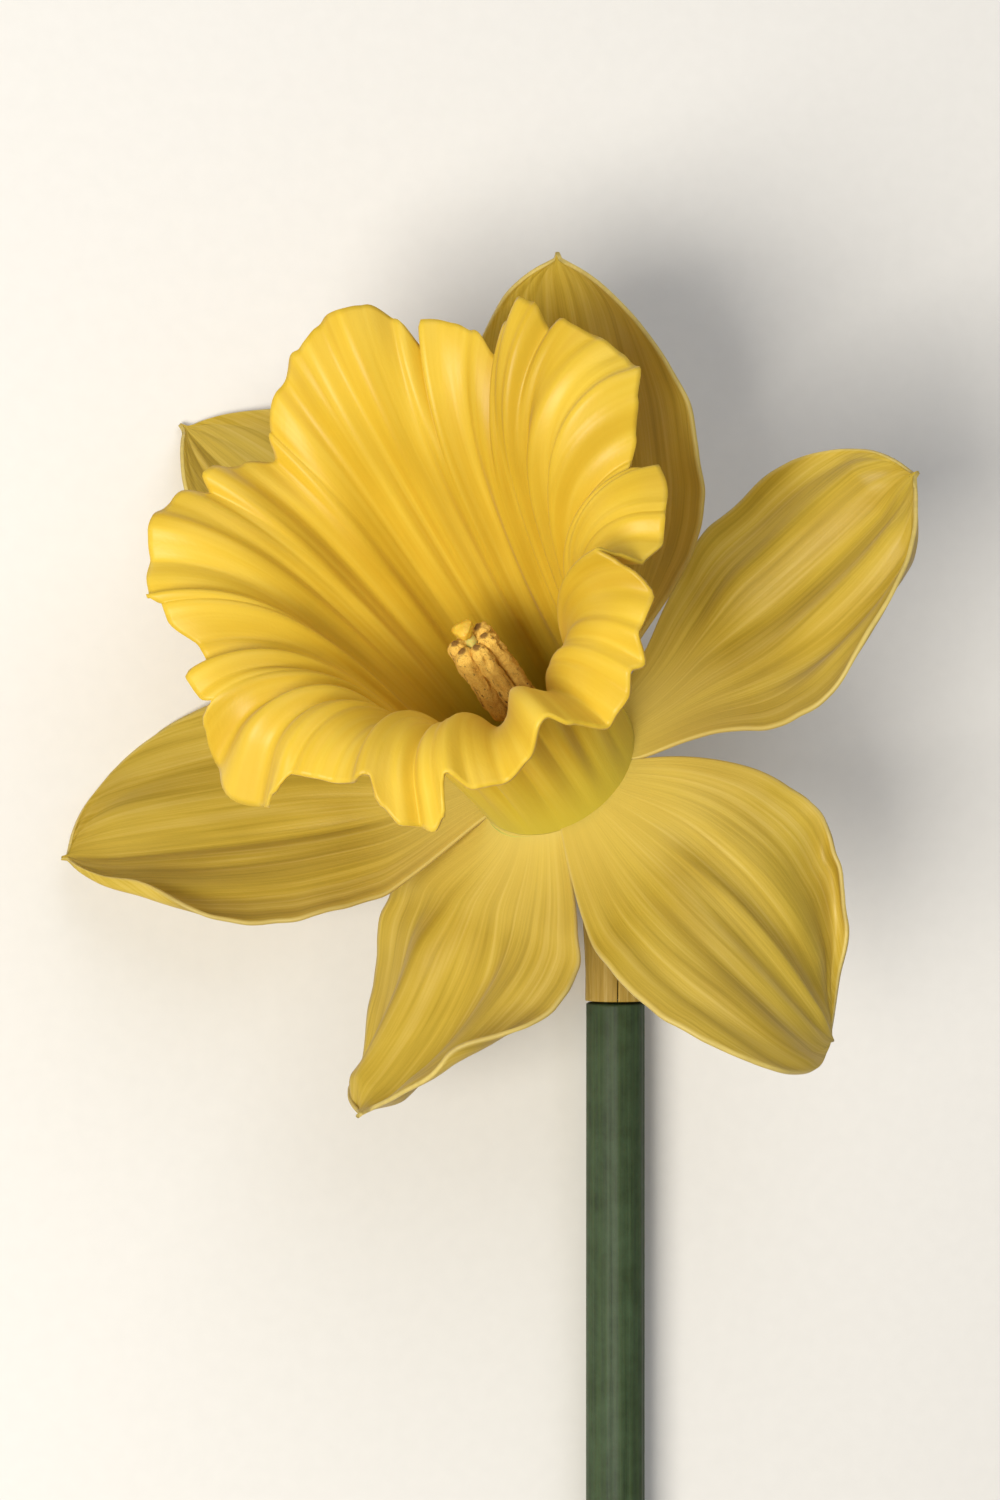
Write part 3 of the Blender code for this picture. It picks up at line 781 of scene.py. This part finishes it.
# %% [markdown]
# ## Behind the bloom
# The tepals run down into a funnel, the perianth tube. Below it sits the ovary, a blunt
# green spindle with three chambers. Both are turned round the bloom's axis.

# %% Tube and ovary
TUBE_TISSUE = soft_material("tube_tissue", "#a6a948", "#bdb251", 0.48, 3.5)
OVARY_SKIN = soft_material("ovary_skin", "#3c5424", "#5f7a34", 0.42, 1.8)
TUBE_TOP = -0.75
TUBE_FOOT = -14.0
TUBE_FOOT_RADIUS = 3.0
TUBE_MOUTH_RADIUS = 9.9
TUBE_WALL = 0.7
OVARY_FOOT = -22.6
OVARY_TOP = -14.2


def make_tube():
    """One grid wrapped round the axis: outside up, over the rim and down inside."""

    def place_point(x, y):
        angle = 2 * pi * x
        share = 1 - abs(2 * y - 1)
        inside = y > 0.5
        outer = blend(TUBE_FOOT_RADIUS, TUBE_MOUTH_RADIUS, share ** 1.5)
        wall = TUBE_WALL * min(1.0, (1 - share) * 8 + 0.25)
        radius = outer - (wall if inside else 0.0)
        radius *= 1 + 0.03 * cos(6 * angle + 0.4) * share
        radius += 0.05 * ripple(12 * cos(angle), 12 * sin(angle), 81)
        height = blend(TUBE_FOOT, TUBE_TOP, share)
        if y in (0.0, 1.0):
            radius = TUBE_FOOT_RADIUS - 1.0
        return Vector((radius * cos(angle), radius * sin(angle), height))

    bm = laid_grid(120, 60, place_point, wrapped=True)
    bmesh.ops.remove_doubles(bm, verts=bm.verts, dist=0.0001)
    bmesh.ops.recalc_face_normals(bm, faces=bm.faces)
    return finish_piece("tube_funnel", bm, BLOOM, TUBE_TISSUE,
                        ["perianth_tube"])


def ovary_radius(t, angle):
    """Swells between the stalk below and the foot of the tube above."""
    ridge = 1 + 0.06 * cos(3 * angle) + 0.015 * cos(6 * angle)
    return (blend(1.95, 2.8, t) + 0.85 * sin(pi * t)) * ridge * rounded(t, 0.03)


make_tube()
ovary = sweep_rod(straight_route(Vector((0, 0, OVARY_FOOT)), Vector((0, 0, OVARY_TOP))),
                  ovary_radius, 64, 60)
finish_piece("ovary_body", ovary, BLOOM, OVARY_SKIN, ["ovary"])

# %% [markdown]
# ## Stem, stalk and spathe
# The stem is slightly flattened and finely ribbed along its length, blue-green with a
# waxy bloom that rubs off in places. The cut end shows pale pith, and its dark middle is
# painted shade that stands in for the hollow heart.
# The papery spathe once held the bud, and now it wraps the stalk above the stem.

# %% Stem and spathe materials
def stem_material(name, deep, pale, wax, ring):
    """Waxy green skin with long fine ribs and a dusty bloom, and pale pith at the cut end, whose dark
    middle is painted shade for the hollow.
    """
    material = new_material(name)
    spot = add_node(material, "ShaderNodeTexCoord").outputs["UV"]
    to_ribs = add_node(material, "ShaderNodeMapping", _0=spot, Scale=(ring, 3.0, 1.0)).outputs[0]
    ribs = add_node(material, "ShaderNodeTexNoise", Vector=to_ribs, Scale=1.0, Detail=3.0,
                    Roughness=0.6).outputs["Fac"]
    skin = set_ramp(add_node(material, "ShaderNodeValToRGB", Fac=ribs),
                    [(0.34, deep), (0.62, pale)])
    place = add_node(material, "ShaderNodeTexCoord").outputs["Object"]
    dust = add_node(material, "ShaderNodeTexNoise", Vector=place, Scale=1 / (3.0 * MM), Detail=6.0,
                    Roughness=0.65).outputs["Fac"]
    cover = add_node(material, "ShaderNodeMapRange", Value=dust, From_Min=0.35, From_Max=0.75,
                     To_Min=0.1, To_Max=0.65).outputs[0]
    waxed = add_node(material, "ShaderNodeMix", {"data_type": "RGBA"}, _0=cover, _6=skin,
                     _7=linear(wax)).outputs[2]
    along = add_node(material, "ShaderNodeSeparateXYZ", Vector=spot).outputs["Y"]
    outwards = add_node(material, "ShaderNodeMapRange", Value=along, From_Min=0.0,
                        From_Max=0.005).outputs[0]
    # the cut end: pale pith round a dark middle, which is painted shade standing in for the hollow
    # heart
    pith_and_hollow_shade = set_ramp(add_node(material, "ShaderNodeValToRGB", Fac=outwards),
                    [(0.0, "#39471f"), (0.09, "#4d5c2b"), (0.12, "#c2cb93"), (0.4, "#a3b274")])
    skinned = add_node(material, "ShaderNodeMapRange", Value=outwards, From_Min=0.42,
                       From_Max=0.6).outputs[0]
    colour = add_node(material, "ShaderNodeMix", {"data_type": "RGBA"}, _0=skinned, _6=pith_and_hollow_shade,
                      _7=waxed).outputs[2]
    bump = add_node(material, "ShaderNodeBump", Height=ribs, Strength=0.4,
                    Distance=0.15 * MM).outputs[0]
    shader = add_node(material, "ShaderNodeBsdfPrincipled", Base_Color=colour, Roughness=0.6,
                      IOR=1.4, Subsurface_Weight=0.15, Subsurface_Scale=1.2 * MM, Normal=bump)
    add_node(material, "ShaderNodeOutputMaterial", Surface=shader.outputs[0])
    return material


def paper_material():
    """Dry spathe: thin tan paper with long veins, light showing through it."""
    material = new_material("spathe_paper")
    spot = add_node(material, "ShaderNodeTexCoord").outputs["UV"]
    to_veins = add_node(material, "ShaderNodeMapping", _0=spot, Scale=(26.0, 2.2, 1.0)).outputs[0]
    veins = add_node(material, "ShaderNodeTexNoise", Vector=to_veins, Scale=1.0, Detail=4.0,
                     Roughness=0.65, Distortion=0.3).outputs["Fac"]
    paper = set_ramp(add_node(material, "ShaderNodeValToRGB", Fac=veins),
                     [(0.3, "#ae8c34"), (0.5, "#caa94c"), (0.72, "#e2ca7c")])
    bump = add_node(material, "ShaderNodeBump", Height=veins, Strength=0.6,
                    Distance=0.25 * MM).outputs[0]
    front = add_node(material, "ShaderNodeBsdfPrincipled", Base_Color=paper, Roughness=0.6,
                     IOR=1.45, Normal=bump)
    back = add_node(material, "ShaderNodeBsdfTranslucent", Color=paper, Normal=bump)
    both = add_node(material, "ShaderNodeMixShader", _0=0.35, _1=front.outputs[0],
                    _2=back.outputs[0])
    add_node(material, "ShaderNodeOutputMaterial", Surface=both.outputs[0])
    return material


STEM = stem_material("stem_skin", "#18260f", "#2e3f1c", "#42563a", 42.0)
SPATHE = paper_material()
print("stem and spathe materials:", STEM.name, SPATHE.name)

# %% Stem and stalk
STEM_LOW, STEM_HIGH = (Vector(corner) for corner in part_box("stem"))
STEM_MIDDLE = (STEM_LOW + STEM_HIGH) / 2
STEM_RADIUS = (STEM_HIGH.x - STEM_LOW.x) / 2 / MM
STEM_FOOT = Vector((STEM_MIDDLE.x, STEM_LOW.y, STEM_MIDDLE.z)) / MM
STEM_TOP = Vector((STEM_MIDDLE.x, STEM_HIGH.y, STEM_MIDDLE.z)) / MM
IN_MILLIMETRES = Matrix.Scale(MM, 4)


def stem_radius(t, angle):
    ribs = 0.035 * cos(14 * angle + 2 * t) + 0.02 * cos(23 * angle)
    edge = (min(t / 0.004, (1 - t) / 0.002, 1.0)) ** 0.4
    return (STEM_RADIUS - 0.08 + ribs) * max(edge, 0.2)


stem = sweep_rod(straight_route(STEM_FOOT, STEM_TOP), stem_radius, 112, 600)
finish_piece("stem_ribbed", stem, IN_MILLIMETRES, STEM, ["stem"])


def stalk_radius(t, angle):
    return (1.75 + 0.25 * ease((t - 0.85) / 0.15) + 0.05 * cos(9 * angle)) * rounded(t, 0.02)


STALK_FOOT = STEM_TOP + Vector((0, 0.1, 0))
STALK_TIP = HEART / MM + AXIS * (OVARY_FOOT + 0.2)
stalk = sweep_rod(smooth_route(STALK_FOOT, Vector((0, 14, 0)), AXIS * 4.5, STALK_TIP),
                  stalk_radius, 48, 120)
finish_piece("stalk", stalk, IN_MILLIMETRES, STEM, ["pedicel"])

# %% Spathe
SPATHE_LENGTH = 36.0
SLIT_PLACE = 107.0        # where the slit looks, degrees round the stem
SLIT_BASE = 1.0           # half opening of the slit at its foot and at its tip, degrees
SLIT_TIP = 176.0
SPATHE_BULGE = 0.9        # mm


def spathe_point(x, y):
    opening = blend(SLIT_BASE, SLIT_TIP, ease((y - 0.16) / 0.74))
    side = 2 * x - 1
    torn = 1.5 * ripple(y * 14, side, 91) * ease(abs(side) ** 4) * ease(y / 0.3)
    angle = radians(SLIT_PLACE + 180 + side * (180 - opening) + torn)
    crease = 0.22 * ripple(side * 6, y * 1.4, 95) + 0.1 * ripple(side * 14, y * 5, 96)
    radius = STEM_RADIUS + SPATHE_BULGE * sin(pi * y) ** 2 + crease * ease(y / 0.1)
    floor_side = radius + 0.25 - STEM_RADIUS
    end = 1 + 0.02 * ripple(side * 9, 0, 97) * ease((y - 0.8) / 0.2)
    return STEM_TOP + Vector((radius * cos(angle), 0.1 + SPATHE_LENGTH * y * end,
                              radius * sin(angle) + floor_side))


spathe = laid_grid(120, 130, spathe_point)
finish_piece("spathe_sheath", spathe, IN_MILLIMETRES, SPATHE, ["spathe"], 0.3)

# %% [markdown]
# ## Floor, light and camera
# The flower lies on a plain pale surface. One soft light from the lower left gives the
# folds their shape, and a weaker, larger one from the far side fills the shadows and
# shines through the thin tissue. The camera looks at the bloom from above and to the left.

# %% Floor
def floor_material():
    """Matte pale board with a faint paper grain."""
    material = new_material("pale_board")
    spot = add_node(material, "ShaderNodeTexCoord").outputs["Object"]
    grain = add_node(material, "ShaderNodeTexNoise", Vector=spot, Scale=1 / (2.0 * MM), Detail=3.0)
    colour = set_ramp(add_node(material, "ShaderNodeValToRGB", Fac=grain.outputs["Fac"]),
                      [(0.3, "#dbd9d5"), (0.7, "#dddbd7")])
    shader = add_node(material, "ShaderNodeBsdfPrincipled", Base_Color=colour, Roughness=0.9)
    add_node(material, "ShaderNodeOutputMaterial", Surface=shader.outputs[0])
    return material


bm = bmesh.new()
bmesh.ops.create_grid(bm, x_segments=1, y_segments=1, size=3.0)
floor_mesh = bpy.data.meshes.new("floor")
bm.to_mesh(floor_mesh)
bm.free()
floor_mesh.materials.append(floor_material())
floor = bpy.data.objects.new("floor", floor_mesh)
bpy.context.scene.collection.objects.link(floor)


# %% Lights
def area_light(name, place, size, power, colour):
    light = bpy.data.lights.new(name, "AREA")
    light.size = size
    light.energy = power
    light.color = linear(colour)[:3]
    lamp = bpy.data.objects.new(name, light)
    lamp.location = HEART + Vector(place)
    lamp.rotation_euler = Vector(place).to_track_quat("Z", "Y").to_euler()
    bpy.context.scene.collection.objects.link(lamp)
    return lamp


area_light("key", (-0.44, -0.16, 0.55), 0.32, 6.3, "#fffaf0")
area_light("fill", (0.10, 0.50, 0.60), 0.7, 2.6, "#f6f8ff")
print("lights:", [lamp.name for lamp in bpy.data.lights])

world = bpy.data.worlds.new("studio")
world.use_nodes = True
world.node_tree.nodes["Background"].inputs["Color"].default_value = linear("#e8e8e6")
world.node_tree.nodes["Background"].inputs["Strength"].default_value = 0.3
bpy.context.scene.world = world

# %% Camera
CAMERA_PLACE = Vector((-134.2, 1.0, 394.5))    # mm from the heart of the bloom
CAMERA_LEAN = -18.0                            # degrees about the stem's direction

camera = bpy.data.cameras.new("camera")
camera.lens = 90
camera.sensor_width = 36
lens = bpy.data.objects.new("camera", camera)
lens.location = HEART + CAMERA_PLACE * MM
lens.rotation_euler = (0, radians(CAMERA_LEAN), 0)
bpy.context.scene.collection.objects.link(lens)
bpy.context.scene.camera = lens
bpy.context.scene.view_settings.view_transform = "Standard"
print("camera", round(CAMERA_PLACE.length), "mm from the heart of the bloom")
